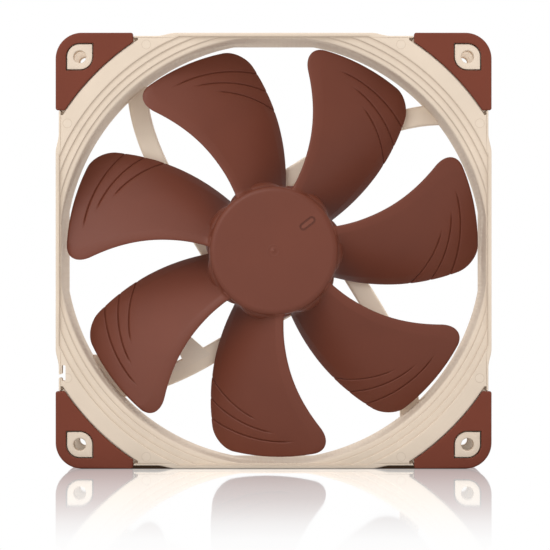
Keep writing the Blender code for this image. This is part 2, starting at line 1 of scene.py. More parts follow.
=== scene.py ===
"""The looks of a 140 mm case fan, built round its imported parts.

X points right, Z up and Y from the intake side to the exhaust side, in metres. A profile is a
list of (radius, y) points and an outline a list of (x, z) points. Most shapes are swept: rows of
points round an axis, one closed profile in each row.
"""

import json
import math

import bmesh
import bpy
import numpy as np
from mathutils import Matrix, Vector


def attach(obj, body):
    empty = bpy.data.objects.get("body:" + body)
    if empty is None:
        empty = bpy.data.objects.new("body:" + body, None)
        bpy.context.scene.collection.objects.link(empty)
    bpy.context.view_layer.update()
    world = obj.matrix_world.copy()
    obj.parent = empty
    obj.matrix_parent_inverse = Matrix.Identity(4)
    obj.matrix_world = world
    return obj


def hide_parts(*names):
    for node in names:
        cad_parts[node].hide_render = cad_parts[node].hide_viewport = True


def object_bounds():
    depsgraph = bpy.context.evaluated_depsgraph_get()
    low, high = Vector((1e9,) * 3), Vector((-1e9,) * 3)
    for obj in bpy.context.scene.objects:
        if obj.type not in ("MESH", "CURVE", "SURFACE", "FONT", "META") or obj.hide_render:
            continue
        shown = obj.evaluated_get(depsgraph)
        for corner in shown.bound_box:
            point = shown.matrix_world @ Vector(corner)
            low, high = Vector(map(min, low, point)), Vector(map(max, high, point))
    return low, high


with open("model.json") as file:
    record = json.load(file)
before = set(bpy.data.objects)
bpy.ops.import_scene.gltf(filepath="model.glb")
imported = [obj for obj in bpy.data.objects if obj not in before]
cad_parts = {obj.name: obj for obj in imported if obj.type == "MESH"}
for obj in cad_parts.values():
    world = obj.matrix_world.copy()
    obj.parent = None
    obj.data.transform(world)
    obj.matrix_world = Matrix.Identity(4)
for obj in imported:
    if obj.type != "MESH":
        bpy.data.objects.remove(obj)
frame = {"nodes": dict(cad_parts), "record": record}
cad_low, cad_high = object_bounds()

MM = 0.001
GAP = 0.3 * MM
QUARTERS = (0.0, 90.0, 180.0, 270.0)
SIDES = (-1.0, 1.0)
CORNERS = {"top_right": 0.0, "top_left": 90.0, "bottom_left": 180.0, "bottom_right": 270.0}

# Casing
HALF_SIDE = cad_high.x
HALF_DEPTH = cad_high.y
FACE = 12.1 * MM
SIDE_RECESS = 1.0 * MM
RAMP_START = 31.5 * MM
RAMP_END = 37.5 * MM
CORNER_RADIUS = 8.4 * MM
FLANGE_INNER = 7.8 * MM
POCKET_START = 34.0 * MM
POCKET_RADIUS = 71.8 * MM
BED_FLOOR = 11.0 * MM
BED_RADIUS = 80.5 * MM
BED_END = 43.6 * MM
NOTCH_FLOOR = 10.2 * MM
LIP_START = 68.4 * MM
LIP_END = 44.8 * MM
LIP_MARGIN = 0.25 * MM
LIP_ANGLE = math.atan(LIP_END / LIP_START)
LIP_STEP = math.radians(0.07)
# About how far out the casing's side lies at a pocket's end and at a lip's end
SIDE_AT_POCKET = 69.5 * MM
SIDE_AT_LIP = 68.9 * MM
# Anything past these lies outside the fan
BEYOND = 14.0 * MM
OUTSIDE = 80.0 * MM
# Stepped inlet: (radius, half width between the flats)
TERRACES = ((75.3 * MM, 68.90 * MM), (73.15 * MM, 68.82 * MM), (70.95 * MM, 68.74 * MM))
TERRACE_FLOORS = (-11.4 * MM, -10.7 * MM, -10.0 * MM)
# Air tunnel: (y, radius, half width between the flats)
TUNNEL = (
    (-BEYOND, 69.5 * MM, 68.6 * MM),
    (-9.0 * MM, 69.1 * MM, 68.3 * MM),
    (BEYOND, 68.8 * MM, 67.5 * MM),
)
TUNNEL_STATIONS = (9.0 * MM, 5.0 * MM, 1.0 * MM, -3.0 * MM, -7.2 * MM)
DIMPLES = 300
DIMPLE_PITCH = 1.4 * MM
# The dimples fade out between these two distances from the axis
DIMPLE_LIMITS = (69.1 * MM, 69.4 * MM)
# Cable clip: (left, bottom, right, top) of the cuts in the left side and the rear face
CLIP_SLOT = (-68.0 * MM, -41.8 * MM, -66.8 * MM, -36.8 * MM)
CLIP_MOUTH = (-40.85 * MM, -39.7 * MM)
CLIP_NOTCH = (-OUTSIDE, -43.2 * MM, -67.8 * MM, -37.2 * MM)
CABLE_GROOVE = (-67.2 * MM, -41.4 * MM, -52.0 * MM, -38.0 * MM)
GROOVE_FLOOR = 9.8 * MM
EJECTOR_MARK = (66.2 * MM, 40.9 * MM)

# Screw bosses and pads
HOLE_CENTRE = 62.25 * MM
HOLE_RADIUS = 2.0 * MM
REAR_HOLE_RADIUS = 1.75 * MM
HOLE_LIP = 0.2 * MM
BOSS_HALF = 4.05 * MM
# How far a boss's two blunt corners reach, for each unit of its half width
BLUNT_CORNER = 1.395
MOAT = 0.34 * MM
MOAT_FLOOR = 9.6 * MM
# The hole cut in the casing, and the boss's neck that fills it and sinks a little into the flange
NECK_CUT = 3.0 * MM
NECK_RADIUS = 3.2 * MM
NECK_SINK = 0.04 * MM
BOSS_SINK = 0.4 * MM
PAD_ARC = 80.8 * MM
PAD_END = 45.1 * MM
PAD_TIP = 0.7 * MM
PAD_THICKNESS = 1.2 * MM
PAD_SKIRT = 1.0 * MM

# Struts, along a cubic Bezier curve for the one at the top right
STRUT_FRONT = 8.6 * MM
STRUT_REAR = 11.9 * MM
STRUT_CURVE = np.array([(2.0, 22.4), (19.5, 33.0), (34.5, 44.6), (54.8, 45.1)]) * MM
STRUT_START = -0.22
STRUT_ROOT_HALF = 3.05 * MM
STRUT_WALL_HALF = 3.35 * MM
STRUT_CUT = 20.6 * MM
# Cable guide: shares of the strut's length, and offsets to its side
GUIDE_TURN = 180.0
PLATE_INNER = (0.37, 1.04)
PLATE_OUTER = (0.44, 1.2)
PLATE_DEPTHS = (8.59 * MM, 11.65 * MM)
RIB_SPAN = (0.5, 1.1)
RIB_OFFSET = 9.6 * MM
RIB_HALF = 1.3 * MM
RIB_DEPTHS = (8.9 * MM, 11.7 * MM)
WINDOW_SPAN = (0.53, 0.72)
WINDOW_OFFSETS = (2.6 * MM, 6.4 * MM)

# Impeller
HUB_RADIUS = 20.8 * MM
BLADES = 7
BLADE_ROOT = 20.0 * MM
BLADE_TIP = 66.9 * MM
# A blade's values at its root and at its tip: its run along Y, its setback and its thickness
BLADE_DEPTHS = (16.2 * MM, 14.8 * MM)
BLADE_SETBACKS = (2.2 * MM, 3.5 * MM)
BLADE_THICKNESSES = (2.1 * MM, 1.3 * MM)
BLADE_THINNEST = 0.12 * MM
CAMBER = 0.30
FLARE = 1.0 * MM
FLARE_REACH = 0.5 * MM
TIP_EASE = 0.6 * MM
# The first blade's edges: the radius in mm where each formula starts, and its angle there
LEADING_RADIUS = 29.6
LEADING_ANGLE = 70.9
TRAILING_RADIUS = 22.755
TRAILING_ANGLE = 28.6
LEADING_CORNER = 8.0 * MM
TRAILING_CORNER = 6.0 * MM
# Flow channels in a blade's front, from its trailing edge inwards: radius at the start, in the
# middle and at the end, and the angle of the end, for the first blade
CHANNELS = (
    (46.0 * MM, 51.2 * MM, 55.3 * MM, 59.0),
    (52.4 * MM, 56.6 * MM, 59.2 * MM, 65.0),
    (58.5 * MM, 61.2 * MM, 62.1 * MM, 71.0),
)
CHANNEL_DEPTH = 0.36 * MM
CHANNEL_HALF = 0.21 * MM
CHANNEL_FADE = 0.16
SLOPE_DEPTH = 0.08 * MM
SLOPE_REACH = 1.7 * MM
BUMP_ANGLE = 57.0
BUMP_CENTRE = 20.2 * MM
BUMP_REACH = 2.5 * MM
BUMP_HALF = 8.8 * MM
BUMP_DEPTH = 4.6 * MM
BUMP_LEVEL = -3.9 * MM
# The oblong mark in the hub's face, with a raised stroke in it
MARK_CENTRE = (10.9 * MM, 8.75 * MM)
MARK_TURN = 38.0
MARK_SIZE = (5.9 * MM, 2.5 * MM)
MARK_FLOOR = -11.85 * MM
STROKE_SIZE = (4.6 * MM, 1.2 * MM)
STROKE_FACE = -12.0 * MM
STROKE_FOOT = -11.5 * MM

# Colours
BEIGE = (0.70, 0.583, 0.468)
# Struts and motor base: the frame's plastic, painted lighter to stand in for light they lack
MOUNT_BEIGE_PAINTED_LIGHTER = (0.85, 0.73, 0.595)
# Pale edge colours, here and for the pads and impeller below: part wear, part painted highlight
BEIGE_WEAR_AND_HIGHLIGHT = (0.80, 0.70, 0.59)
PAD_BROWN = (0.160, 0.037, 0.019)
PAD_WEAR_AND_HIGHLIGHT = (0.20, 0.062, 0.036)
IMPELLER_BROWN = (0.142, 0.0365, 0.0192)
IMPELLER_WEAR_AND_HIGHLIGHT = (0.20, 0.065, 0.04)
LABEL_PALE = (0.66, 0.57, 0.45, 1.0)
LABEL_BROWN = (0.13, 0.042, 0.028, 1.0)
LABEL_RADIUS = 19.0 * MM
# Painted shade that darkens hollows, grooves and creases in the plastics
HOLLOW_PAINTED_SHADE = (0.55, 0.5, 0.46, 1.0)
SHADOW = (0.035, 0.02, 0.012, 1.0)
WHITE = (1.0, 1.0, 1.0, 1.0)

# Studio: brightness of the surroundings, from the sides and the back (0) to straight along a
# direction (1). The glow lights matt surfaces, and the gleam shows in glossy ones.
STUDIO = 1.5
BEHIND = 0.45
GLOW_DIRECTION = (0.0, -1.0, 0.0)
GLOW = ((0.0, 1.0), (0.05, 0.26), (0.35, 0.38), (0.6, 0.58), (0.9, 0.85))
GLEAM_DIRECTION = (-0.6, -0.75, 0.28)
GLEAM = ((0.0, BEHIND), (0.2, 0.15), (0.6, 0.25), (0.82, 0.9), (0.97, 1.7))
# Floor, by distance from the fan's foot: how much of it mirrors, and how much light it throws.
# The mirror makes up for the gleam behind the fan, which is dimmer than the white that shows.
FLOOR_HALF = 6.0
FLOOR_REACH = 0.25
SHADOW_REACH = 1.5 * MM
MIRROR = ((0.0, 0.66), (0.26, 0.47), (0.40, 0.39), (0.54, 0.26), (0.66, 0.13), (0.80, 0.03), (1.0, 0.0))
MIRROR_GAIN = 1.0 / (BEHIND * STUDIO)
BOUNCE = ((0.0, 0.25), (0.04, 0.45), (0.15, 0.75), (0.4, 0.95), (1.0, 0.95))
CAMERA_PLACE = (0.45 * MM, -762.5 * MM, -7.8 * MM)
CAMERA_LENS = 153.0


# ---- Mesh tools


def finished(name, bm, angle=40.0):
    """Turns a bmesh into an object whose faces point out, smooth but for its sharp edges."""
    bmesh.ops.recalc_face_normals(bm, faces=bm.faces)
    if bm.calc_volume(signed=True) < 0.0:
        bmesh.ops.reverse_faces(bm, faces=bm.faces)
    mesh = bpy.data.meshes.new(name)
    bm.to_mesh(mesh)
    bm.free()
    mesh.shade_smooth()
    mesh.set_sharp_from_angle(angle=math.radians(angle))
    obj = bpy.data.objects.new(name, mesh)
    bpy.context.scene.collection.objects.link(obj)
    return obj


def swept(name, rows, ends="joined", angle=40.0):
    """A closed solid through rows of points. Each row closes on itself.

    The rows close on each other too, or the two end rows are filled with strips of quads.
    """
    rows = np.asarray(rows, float)
    count, width = rows.shape[:2]
    index = np.arange(count * width).reshape(count, width)
    here = index if ends == "joined" else index[:-1]
    there = np.roll(index, -1, axis=0)[: len(here)]
    quads = np.stack([here, there, np.roll(there, -1, axis=1), np.roll(here, -1, axis=1)], axis=-1)
    quads = quads.reshape(-1, 4).tolist()
    if ends == "strips":
        for row in (index[0], index[-1]):
            for i in range(width // 2 - 1):
                quads.append([row[i], row[i + 1], row[-2 - i], row[-1 - i]])
    mesh = bpy.data.meshes.new(name)
    mesh.from_pydata(rows.reshape(-1, 3).tolist(), [], quads)
    bm = bmesh.new()
    bm.from_mesh(mesh)
    bpy.data.meshes.remove(mesh)
    bmesh.ops.remove_doubles(bm, verts=bm.verts, dist=0.002 * MM)
    return finished(name, bm, angle)


def prism(name, outline, front, rear):
    """A solid with the same outline from its front y to its rear y."""
    bm = bmesh.new()
    loops = []
    for y in (front, rear):
        loops.append([bm.verts.new((x, y, z)) for x, z in outline])
    bm.faces.new(loops[0])
    bm.faces.new(list(reversed(loops[1])))
    for i in range(len(outline)):
        j = (i + 1) % len(outline)
        bm.faces.new((loops[0][i], loops[0][j], loops[1][j], loops[1][i]))
    return finished(name, bm)


def rounded(corners, radii, steps=4):
    """Rounds the corners of closed outlines, given as an array of (outline, corner, 2).

    A corner's curve never takes more than half of the shorter edge beside it.
    """
    corners = np.asarray(corners, float)
    before = np.roll(corners, 1, axis=1) - corners
    after = np.roll(corners, -1, axis=1) - corners
    shorter = np.minimum(np.linalg.norm(before, axis=2), np.linalg.norm(after, axis=2))
    reach = np.minimum(np.asarray(radii, float), 0.47 * shorter)[..., None]
    ends = []
    for way in (before, after):
        length = np.maximum(np.linalg.norm(way, axis=2, keepdims=True), 1e-9)
        ends.append(corners + way / length * reach)
    start, end = ends
    first = start + 0.55 * (corners - start)
    last = end + 0.55 * (corners - end)
    curves = [bezier(i / steps, start, first, last, end) for i in range(steps + 1)]
    return np.stack(curves, axis=2).reshape(len(corners), -1, 2)


def bezier(t, a, b, c, d):
    """The point at share t of a cubic Bezier curve."""
    s = 1.0 - t
    return s**3 * a + 3 * s * s * t * b + 3 * s * t * t * c + t**3 * d


def turned_rows(angles, profiles, centre=(0.0, 0.0)):
    """Rows of 3-D points for (radius, y) profiles, one at each angle round a centre."""
    angles = np.asarray(angles)[:, None]
    radius = profiles[..., 0]
    x = centre[0] + radius * np.cos(angles)
    z = centre[1] + radius * np.sin(angles)
    return np.stack([x, profiles[..., 1], z], axis=-1)


def rounded_rows(angles, points, steps, centre=(0.0, 0.0)):
    """Rows for one rounded profile whose shape may change with the angle.

    A point is (radius, y, rounding). Its radius and y are in metres, each one number or an array
    with a value for each angle, and its rounding is in millimetres.
    """
    profiles = []
    for radius, y, _ in points:
        radius, y, _ = np.broadcast_arrays(radius, y, angles)
        profiles.append(np.stack([radius, y], axis=-1))
    curves = rounded(np.stack(profiles, axis=1), [rounding * MM for _, _, rounding in points], steps)
    return turned_rows(angles, curves, centre)


def full_turn(steps):
    return np.linspace(0.0, 2.0 * math.pi, steps, endpoint=False)


def turned(name, profile, steps, corner_steps=4, centre=(0.0, 0.0)):
    """A ring or disc about an axis along Y, from (radius, y, rounding) points in millimetres."""
    points = [(radius * MM, y * MM, rounding) for radius, y, rounding in profile]
    return swept(name, rounded_rows(full_turn(steps), points, corner_steps, centre))


def apply_modifiers(obj):
    graph = bpy.context.evaluated_depsgraph_get()
    mesh = bpy.data.meshes.new_from_object(obj.evaluated_get(graph))
    obj.modifiers.clear()
    obj.data = mesh


def cut(obj, cutter, solver="MANIFOLD"):
    """Cuts one closed solid out of another."""
    modifier = obj.modifiers.new("cut", "BOOLEAN")
    modifier.operation = "DIFFERENCE"
    modifier.solver = solver
    modifier.object = cutter
    apply_modifiers(obj)
    bpy.data.objects.remove(cutter, do_unlink=True)
    obj.data.shade_smooth()
    obj.data.set_sharp_from_angle(angle=math.radians(40.0))


def flatten_normals(obj):
    """Keeps flat faces flat beside their rounded edges."""
    modifier = obj.modifiers.new("normals", "WEIGHTED_NORMAL")
    modifier.keep_sharp = True
    modifier.weight = 80
    apply_modifiers(obj)


def values_of(items, name, width, kind):
    """An array with one row for each vertex or edge."""
    values = np.empty(len(items) * width, dtype=kind)
    items.foreach_get(name, values)
    return values.reshape(-1, width)


def store_bend(obj):
    """Stores how the surface bends at each vertex: above zero on an edge, below zero in a hollow."""
    mesh = obj.data
    points = values_of(mesh.vertices, "co", 3, float)
    normals = values_of(mesh.vertices, "normal", 3, float)
    near, far = values_of(mesh.edges, "vertices", 2, np.int32).T
    count = len(points)
    step = points[far] - points[near]
    step /= np.maximum(np.linalg.norm(step, axis=1, keepdims=True), 1e-9)
    lean = np.zeros(count)
    np.add.at(lean, near, (normals[near] * step).sum(axis=1))
    np.add.at(lean, far, -(normals[far] * step).sum(axis=1))
    valence = np.bincount(near, minlength=count) + np.bincount(far, minlength=count)
    bend = np.arccos(np.clip(lean / valence, -1.0, 1.0)) / math.pi - 0.5
    total = bend.copy()
    np.add.at(total, near, bend[far])
    np.add.at(total, far, bend[near])
    layer = mesh.attributes.new("bend", "FLOAT", "POINT")
    layer.data.foreach_set("value", total / (valence + 1))


def joined(name, objects):
    """One object that holds the meshes of several."""
    bm = bmesh.new()
    for obj in objects:
        bm.from_mesh(obj.data)
        bpy.data.objects.remove(obj, do_unlink=True)
    return finished(name, bm)


def rotated(points, degrees):
    """Turns (x, z) points about the rotor's axis, anticlockwise seen from the front."""
    cosine = math.cos(math.radians(degrees))
    sine = math.sin(math.radians(degrees))
    points = np.asarray(points, float)
    x, z = points[..., 0], points[..., 1]
    return np.stack([cosine * x - sine * z, sine * x + cosine * z], axis=-1)


def turn_about_axis(rows, degrees):
    """Turns 3-D points in the same way."""
    flat = rotated(rows[..., [0, 2]], degrees)
    return np.stack([flat[..., 0], rows[..., 1], flat[..., 1]], axis=-1)


def between(ends, share):
    return ends[0] + (ends[1] - ends[0]) * share


def smooth_step(t):
    t = np.clip(t, 0.0, 1.0)
    return t * t * (3.0 - 2.0 * t)


# ---- Casing


def eighth(angles):
    """Folds angles into the first eighth of the turn, where the casing's formulas hold."""
    folded = np.mod(angles, math.pi / 2.0)
    return np.minimum(folded, math.pi / 2.0 - folded)


def clipped_radius(angles, radius, half_width):
    """A circle whose four sides are cut flat."""
    return np.minimum(radius, half_width / np.cos(angles))


def corner_distance(angles, half_width, radius):
    """Distance to a square's rounded corner, where the ray meets it."""
    inner = half_width - radius
    along = np.cos(angles) + np.sin(angles)
    root = inner * inner * along * along - 2.0 * inner * inner + radius * radius
    return inner * along + np.sqrt(np.maximum(root, 0.0))


def outline_radius(angles):
    """The square outline, set back a little between the middle of each side and its corners."""
    x = np.full_like(angles, HALF_SIDE)
    # The setback depends on z, and z on x, so a few rounds settle both.
    for _ in range(12):
        z = x * np.tan(angles)
        x = HALF_SIDE - SIDE_RECESS * smooth_step((z - RAMP_START) / (RAMP_END - RAMP_START))
        x -= GAP * smooth_step((z - LIP_END) / (0.2 * MM))
    bedded = HALF_SIDE - SIDE_RECESS - GAP
    radius = CORNER_RADIUS - SIDE_RECESS - GAP
    straight = x / np.cos(angles)
    in_corner = straight * np.sin(angles) > bedded - radius
    return np.where(in_corner, corner_distance(angles, bedded, radius), straight)


def tunnel_radius(angles, y):
    stations, radii, half_widths = zip(*TUNNEL)
    radius = np.interp(y, stations, radii)
    half_width = np.interp(y, stations, half_widths)
    return clipped_radius(angles, radius, half_width)


def spread(candidates, gap):
    """Keeps each angle that lies at least a gap away from those already kept, then sorts them."""
    kept = []
    for angle in candidates:
        if all(abs(angle - other) >= gap for other in kept):
            kept.append(angle)
    return np.array(sorted(kept))


def casing_angles():
    """Even steps round the casing, closer together where a pocket, a bed or a flat ends."""
    margin, step, closest = 0.12, 0.5, 0.04
    keys = [math.atan(BED_END / LIP_START), math.asin(BED_END / BED_RADIUS)]
    keys += [LIP_ANGLE, LIP_ANGLE + LIP_STEP]
    keys.append(math.atan(POCKET_START / SIDE_AT_POCKET))
    keys.append(math.asin(POCKET_START / POCKET_RADIUS))
    keys.append(math.atan(LIP_END / SIDE_AT_LIP))
    keys += [math.acos(half_width / radius) for radius, half_width in TERRACES]
    near = np.add.outer(np.array(keys), np.radians([-margin, margin])).reshape(-1)
    even = np.radians(np.arange(0.0, 45.0 - margin, step))
    first = spread(np.concatenate([[0.0], keys, near, even]), math.radians(closest))
    corner = np.concatenate([first, [math.pi / 4.0], math.pi / 2.0 - first[:0:-1]])
    return np.concatenate([corner + quarter * math.pi / 2.0 for quarter in range(4)])


def make_shell():
    """The casing without its struts: both flanges, the pockets between them and the tunnel.

    A terrace is a step of the inlet, a bed is where a pad lies, and the lip is the narrow edge
    that stands up between a bed's notch and the outline.
    """
    angles = casing_angles()
    local = eighth(angles)
    outline = outline_radius(local)
    outer, middle, inner = [clipped_radius(local, *terrace) for terrace in TERRACES]
    bed = np.maximum(BED_RADIUS, BED_END / np.sin(np.maximum(local, 0.1)))
    lip = np.maximum(LIP_START / np.cos(local), outer + LIP_MARGIN)
    lip = np.where(local > LIP_ANGLE, outline, np.minimum(lip, outline))
    bed = np.minimum(bed, lip)
    inset = np.minimum(0.8 * MM, 0.3 * (bed - outer))
    lip_level = np.where(local > LIP_ANGLE, BED_FLOOR, FACE)
    floor = np.where(local > LIP_ANGLE + 2.5 * LIP_STEP, BED_FLOOR, NOTCH_FLOOR)
    pocket = np.maximum(POCKET_RADIUS, POCKET_START / np.sin(np.maximum(local, 0.1)))
    pocket = np.minimum(pocket, outline)
    mouth = tunnel_radius(local, FACE)
    high, low, deep = TERRACE_FLOORS
    inlet = [(tunnel_radius(local, deep), deep, 1.2)]
    for radius, foot, top in ((inner, deep, low), (middle, low, high), (outer, high, -FACE)):
        inlet += [(radius, foot, 0.32), (radius, top, 0.32)]
    inlet.append((outer + inset, -FACE, 0.0))
    flange = [
        (bed - inset, FACE, 0.0),
        (bed, FACE, 0.3),
        (bed, floor, 0.1),
        (lip, floor, 0.1),
        (lip, lip_level, 0.15),
        (outline, lip_level, 0.35),
        (outline, FLANGE_INNER, 0.35),
        (pocket, FLANGE_INNER, 0.8),
    ]
    tunnel = [(between((mouth, bed), 0.3), FACE, 0.0), (mouth, FACE, 0.45)]
    tunnel += [(tunnel_radius(local, y), y, 0.0) for y in TUNNEL_STATIONS]
    front = [(radius, -y, rounding) for radius, y, rounding in flange]
    points = inlet + front + flange[::-1] + tunnel
    return swept("casing_shell", rounded_rows(angles, points, 3), angle=35.0)


def screw_centre(turn):
    return rotated((HOLE_CENTRE, HOLE_CENTRE), turn)


def rectangle(left, bottom, right, top, rounding):
    """The outline of a rectangle with rounded corners."""
    corners = [(left, bottom), (right, bottom), (right, top), (left, top)]
    return rounded([corners], rounding)[0]


def clip_outline():
    """The cable clip's slot and its mouth to the left, with rounded lips."""
    left, bottom, right, top = CLIP_SLOT
    low, high = CLIP_MOUTH
    corners = (
        (right, bottom, 0.3),
        (right, top, 0.3),
        (left, top, 0.3),
        (left, high, 0.45),
        (-OUTSIDE, high, 0.0),
        (-OUTSIDE, low, 0.0),
        (left, low, 0.45),
        (left, bottom, 0.3),
    )
    points = [[(x, z) for x, z, _ in corners]]
    return rounded(points, [rounding * MM for _, _, rounding in corners])[0]


def leaf_radius(angles, half):
    """Distance from the screw's centre to its boss: a square with two quarter-round corners.

    The angles are measured from the diagonal that points away from the fan's centre.
    """
    around = np.mod(angles + math.pi / 4.0, math.pi)
    square = half / np.maximum(np.abs(np.cos(around)), np.abs(np.sin(around)))
    return np.where(around < math.pi / 2.0, half, np.minimum(square, half * BLUNT_CORNER))


def spool(turn):
    """What is cut away round one screw: a leaf-shaped moat from both faces and a round hole."""
    angles = full_turn(144)
    leaf = leaf_radius(angles, BOSS_HALF + MOAT)
    points = [(0.0, BEYOND), (leaf, BEYOND), (leaf, MOAT_FLOOR), (NECK_CUT, MOAT_FLOOR)]
    points = [(radius, -y, 0.0) for radius, y in points] + [(radius, y, 0.0) for radius, y in points[::-1]]
    directions = angles + math.radians(45.0 + turn)
    return swept("spool", rounded_rows(directions, points, 1, screw_centre(turn)))


def ejector_marks():
    """Fine rings that ejector pins left on the front face, beside the ends of the pads."""
    face = -FACE / MM
    profile = [(1.3, face - 0.2), (1.56, face - 0.2), (1.52, face), (1.43, face + 0.06), (1.34, face)]
    profile = [(radius, y, 0.02) for radius, y in profile]
    rings = []
    for x, z in (EJECTOR_MARK, EJECTOR_MARK[::-1]):
        for across in SIDES:
            for up in SIDES:
                rings.append(turned("ring", profile, 40, 1, (across * x, up * z)))
    return joined("ejector_marks", rings)


def cut_casing(shell):
    """Opens the screw holes, the cable clip and the groove that leads to it."""
    for turn in QUARTERS:
        cut(shell, spool(turn))
    cut(shell, ejector_marks())
    cut(shell, prism("clip", clip_outline(), -BEYOND, BEYOND))
    cut(shell, prism("notch", rectangle(*CLIP_NOTCH, 0.3 * MM), 0.0, BEYOND))
    cut(shell, prism("groove", rectangle(*CABLE_GROOVE, 0.4 * MM), GROOVE_FLOOR, BEYOND))


def make_boss(turn, side):
    """The raised seat round one screw hole, on the front or the rear flange."""
    angles = full_turn(144)
    edge = leaf_radius(angles, BOSS_HALF)
    bore = HOLE_RADIUS if side < 0.0 else REAR_HOLE_RADIUS
    foot = FLANGE_INNER - NECK_SINK
    seat = MOAT_FLOOR - BOSS_SINK
    points = [
        (bore, foot, 0.2),
        (bore, FACE - 0.25 * MM, 0.2),
        (bore + HOLE_LIP, FACE, 0.15),
        (edge, FACE, 0.25),
        (edge, seat, 0.0),
        (NECK_RADIUS, seat, 0.0),
        (NECK_RADIUS, foot, 0.2),
    ]
    points = [(radius, side * y, rounding) for radius, y, rounding in points]
    directions = angles + math.radians(45.0 + turn)
    return swept("boss", rounded_rows(directions, points, 3, screw_centre(turn)))


def strut_stations(span, count):
    """Centres and outward normals along a span of a strut's centre line."""
    t = np.linspace(*span, count)[:, None]
    s = 1.0 - t
    a, b, c, d = STRUT_CURVE
    slope = 3 * s * s * (b - a) + 6 * s * t * (c - b) + 3 * t * t * (d - c)
    slope /= np.linalg.norm(slope, axis=1, keepdims=True)
    normal = np.stack([slope[:, 1], -slope[:, 0]], axis=-1)
    return bezier(t, a, b, c, d), normal


def bar_rows(centre, normal, half_width, depths, edge):
    """Rows for a bar with rounded edges that follows a curve."""
    front, rear = depths
    corners = [(-1.0, front), (1.0, front), (1.0, rear), (-1.0, rear)]
    section = []
    for side, y in corners:
        across, level, _ = np.broadcast_arrays(side * half_width, y, centre[:, 0])
        section.append(np.stack([across, level], axis=-1))
    section = rounded(np.stack(section, axis=1), edge)
    place = centre[:, None, :] + normal[:, None, :] * section[..., :1]
    # The end strips pair the first half of a row with the second half.
    place = np.roll(place, -5, axis=1)
    depth = np.roll(section[..., 1], -5, axis=1)
    return np.stack([place[..., 0], depth, place[..., 1]], axis=-1)


def make_strut(turn):
    """A curved arm from the motor base to the casing's corner, wider towards the corner."""
    count = 72
    centre, normal = strut_stations((STRUT_START, 1.0), count)
    half = between((STRUT_ROOT_HALF, STRUT_WALL_HALF), np.linspace(STRUT_START, 1.0, count))
    rows = bar_rows(centre, normal, half, (STRUT_FRONT, STRUT_REAR), 0.8 * MM)
    flat = rows[..., [0, 2]]
    radius = np.linalg.norm(flat, axis=-1, keepdims=True)
    # No point lies nearer to the axis than the motor base's wall.
    flat = flat * np.maximum(STRUT_CUT / radius, 1.0)
    rows = np.stack([flat[..., 0], rows[..., 1], flat[..., 1]], axis=-1)
    return swept("strut", turn_about_axis(rows, turn), ends="strips")


def make_guide():
    """The plate beside the lower left strut that carries the cable, with a window and a rib."""
    centre, normal = strut_stations(RIB_SPAN, 40)
    rows = bar_rows(centre + normal * RIB_OFFSET, normal, RIB_HALF, RIB_DEPTHS, 0.5 * MM)
    rib = swept("guide_rib", turn_about_axis(rows, GUIDE_TURN), ends="strips")
    inner, _ = strut_stations(PLATE_INNER, 24)
    outer, across = strut_stations(PLATE_OUTER, 24)
    outline = np.concatenate([inner, (outer + across * (RIB_OFFSET + RIB_HALF))[::-1]])
    plate = prism("guide_plate", rotated(outline, GUIDE_TURN), *PLATE_DEPTHS)
    side, across = strut_stations(WINDOW_SPAN, 12)
    near, far = [side + across * offset for offset in WINDOW_OFFSETS]
    window = rounded(rotated([np.concatenate([near, far[::-1]])], GUIDE_TURN), 0.2 * MM)[0]
    cut(plate, prism("window", window, 0.0, BEYOND))
    return [rib, plate]


def make_base():
    """The round motor base, open to the front, with a shallow bed for its label."""
    profile = [
        (0.4, 10.3, 0.0),
        (4.5, 10.3, 0.3),
        (4.5, 5.3, 0.25),
        (6.2, 5.3, 0.25),
        (6.2, 9.4, 0.3),
        (19.9, 9.4, 0.4),
        (19.9, 7.0, 0.25),
        (21.3, 7.0, 0.4),
        (21.3, 12.1, 0.7),
        (19.6, 12.1, 0.15),
        (19.6, 11.6, 0.1),
        (0.4, 11.6, 0.0),
    ]
    return turned("base", profile, 256)


# ---- Pads


def pad_outline():
    """The outline of the pad at the top right, seen from its screw's centre.

    It also gives the numbers of the points between which the pad has a skirt.
    """
    tip = []
    for angle in np.radians(np.linspace(0.0, 90.0, 7)):
        x = HALF_SIDE - PAD_TIP + PAD_TIP * math.sin(angle)
        tip.append((x, PAD_END + PAD_TIP - PAD_TIP * math.cos(angle)))
    inner = HALF_SIDE - CORNER_RADIUS
    corner = []
    for angle in np.radians(np.linspace(0.0, 90.0, 25)):
        x = inner + CORNER_RADIUS * math.cos(angle)
        corner.append((x, inner + CORNER_RADIUS * math.sin(angle)))
    outside = tip + corner + [(z, x) for x, z in reversed(tip)]
    start = math.asin(PAD_END / PAD_ARC)
    arc = []
    for angle in np.linspace(math.pi / 2.0 - start, start, 49):
        arc.append((PAD_ARC * math.cos(angle), PAD_ARC * math.sin(angle)))
    skirt_start = 4
    return np.array(outside + arc) - HOLE_CENTRE, (skirt_start, len(outside) - 1 - skirt_start)


def ray_lengths(directions, outline):
    """How far each ray from the origin runs before it meets the closed outline."""
    lengths = np.full(len(directions), np.inf)
    rays = np.stack([np.cos(directions), np.sin(directions)], axis=-1)
    for a, b in zip(outline, np.roll(outline, -1, axis=0)):
        edge = b - a
        cross = rays[:, 0] * edge[1] - rays[:, 1] * edge[0]
        safe = np.where(np.abs(cross) < 1e-12, 1e-12, cross)
        along = (a[0] * edge[1] - a[1] * edge[0]) / safe
        share = (a[0] * rays[:, 1] - a[1] * rays[:, 0]) / safe
        hit = (along > 0.0) & (share >= -1e-6) & (share <= 1.0 + 1e-6)
        lengths = np.where(hit, np.minimum(lengths, along), lengths)
    return lengths


